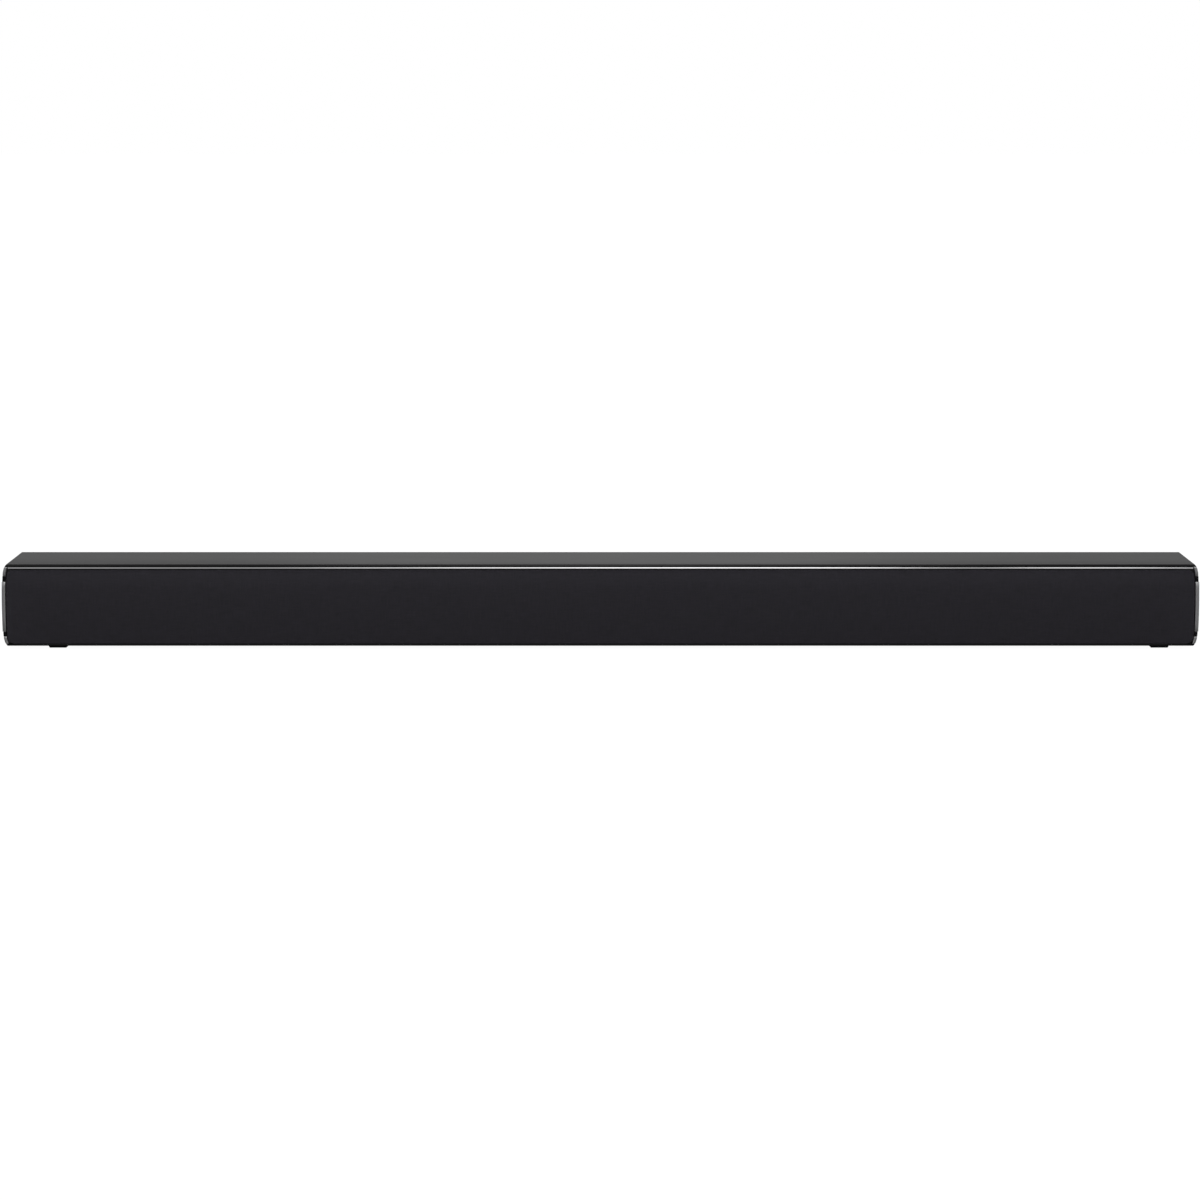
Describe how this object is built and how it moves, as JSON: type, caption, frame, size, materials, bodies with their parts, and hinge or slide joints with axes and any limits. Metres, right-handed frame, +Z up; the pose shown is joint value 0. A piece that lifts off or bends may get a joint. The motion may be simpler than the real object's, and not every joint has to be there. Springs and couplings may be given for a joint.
{
  "type": "soundbar",
  "caption": "Long, low black soundbar: cloth grille with chrome strip and end trims, glossy top, drivers, side buttons and rear sockets.",
  "frame": {"origin": "under the middle of the cabinet, on the plane the feet stand on", "axes": "+X along the bar, to the right as a listener faces the grille; the grille faces -Y; +Z up"},
  "size_m": [0.94, 0.09, 0.0674],
  "materials": {
    "gloss_black": "polished black plastic",
    "textured_black": "fine spark-eroded texture",
    "grille_cloth": "stretched acoustically open knit",
    "chrome": "bright plated",
    "rubber": "moulded, matt",
    "zinc_steel": "zinc plated",
    "ferrite": "sintered ferrite with plated plates",
    "cone_paper": "pressed paper",
    "circuit_board": "solder resist",
    "aluminium": "extruded",
    "transformer_tape": "polyester tape over a ferrite core",
    "capacitor_sleeve": "shrink sleeve",
    "socket_black": "moulded",
    "socket_white": "moulded",
    "socket_red": "moulded"
  },
  "bodies": {
    "cabinet": {"top_cover": "gloss_black", "left_end_cap": "gloss_black", "right_end_cap": "gloss_black", "lower_housing": "textured_black", "front_baffle": "textured_black", "grille_frame": "textured_black", "jack_panel": "textured_black", "grille_cloth": "grille_cloth", "top_trim_strip": "chrome", "left_end_trim": "chrome", "right_end_trim": "chrome", "left_front_foot": "rubber", "right_front_foot": "rubber", "left_rear_foot": "rubber", "right_rear_foot": "rubber", "case_screw_1": "zinc_steel", "case_screw_2": "zinc_steel", "case_screw_3": "zinc_steel", "case_screw_4": "zinc_steel", "case_screw_5": "zinc_steel", "case_screw_6": "zinc_steel", "left_keyhole_plate": "zinc_steel", "right_keyhole_plate": "zinc_steel", "driver_1_basket": "zinc_steel", "driver_1_magnet": "ferrite", "driver_1_surround": "rubber", "driver_2_basket": "zinc_steel", "driver_2_magnet": "ferrite", "driver_2_surround": "rubber", "driver_3_basket": "zinc_steel", "driver_3_magnet": "ferrite", "driver_3_surround": "rubber", "driver_4_basket": "zinc_steel", "driver_4_magnet": "ferrite", "driver_4_surround": "rubber", "main_board": "circuit_board", "power_board": "circuit_board", "button_board": "circuit_board", "sensor_board": "circuit_board", "heat_sink": "aluminium", "transformer": "transformer_tape", "filter_capacitor": "capacitor_sleeve", "ac_inlet": "socket_black", "aux_jack": "socket_black", "optical_socket": "socket_black", "left_phono_jack": "socket_white", "right_phono_jack": "socket_red"},
    "driver_1_moving": {"driver_1_cone": "cone_paper"},
    "driver_2_moving": {"driver_2_cone": "cone_paper"},
    "driver_3_moving": {"driver_3_cone": "cone_paper"},
    "driver_4_moving": {"driver_4_cone": "cone_paper"},
    "power_key": {"power_button": "gloss_black"},
    "power_switch": {"power_plunger": "socket_black"},
    "source_key": {"source_button": "gloss_black"},
    "source_switch": {"source_plunger": "socket_black"},
    "volume_down_key": {"volume_down_button": "gloss_black"},
    "volume_down_switch": {"volume_down_plunger": "socket_black"},
    "volume_up_key": {"volume_up_button": "gloss_black"},
    "volume_up_switch": {"volume_up_plunger": "socket_black"}
  },
  "joints": [
    {"name": "driver_1_travel", "type": "slide", "parent": "cabinet", "child": "driver_1_moving", "axis": [0, -1, 0], "range_m": [-0.002, 0.002], "stiffness_N_per_m": 1000},
    {"name": "driver_2_travel", "type": "slide", "parent": "cabinet", "child": "driver_2_moving", "axis": [0, -1, 0], "range_m": [-0.002, 0.002], "stiffness_N_per_m": 1000},
    {"name": "driver_3_travel", "type": "slide", "parent": "cabinet", "child": "driver_3_moving", "axis": [0, -1, 0], "range_m": [-0.002, 0.002], "stiffness_N_per_m": 1000},
    {"name": "driver_4_travel", "type": "slide", "parent": "cabinet", "child": "driver_4_moving", "axis": [0, -1, 0], "range_m": [-0.002, 0.002], "stiffness_N_per_m": 1000},
    {"name": "power_press", "type": "slide", "parent": "cabinet", "child": "power_key", "axis": [-1, 0, 0], "range_m": [0, 0.0006], "stiffness_N_per_m": 3000},
    {"name": "power_plunger_slide", "type": "slide", "parent": "cabinet", "child": "power_switch", "axis": [-1, 0, 0], "range_m": [0, 0.0006]},
    {"name": "source_press", "type": "slide", "parent": "cabinet", "child": "source_key", "axis": [-1, 0, 0], "range_m": [0, 0.0006], "stiffness_N_per_m": 3000},
    {"name": "source_plunger_slide", "type": "slide", "parent": "cabinet", "child": "source_switch", "axis": [-1, 0, 0], "range_m": [0, 0.0006]},
    {"name": "volume_down_press", "type": "slide", "parent": "cabinet", "child": "volume_down_key", "axis": [-1, 0, 0], "range_m": [0, 0.0006], "stiffness_N_per_m": 3000},
    {"name": "volume_down_plunger_slide", "type": "slide", "parent": "cabinet", "child": "volume_down_switch", "axis": [-1, 0, 0], "range_m": [0, 0.0006]},
    {"name": "volume_up_press", "type": "slide", "parent": "cabinet", "child": "volume_up_key", "axis": [-1, 0, 0], "range_m": [0, 0.0006], "stiffness_N_per_m": 3000},
    {"name": "volume_up_plunger_slide", "type": "slide", "parent": "cabinet", "child": "volume_up_switch", "axis": [-1, 0, 0], "range_m": [0, 0.0006]}
  ],
  "couplings": [
    {"joint": "power_plunger_slide", "follows": "power_press", "ratio": 1},
    {"joint": "source_plunger_slide", "follows": "source_press", "ratio": 1},
    {"joint": "volume_down_plunger_slide", "follows": "volume_down_press", "ratio": 1},
    {"joint": "volume_up_plunger_slide", "follows": "volume_up_press", "ratio": 1}
  ]
}
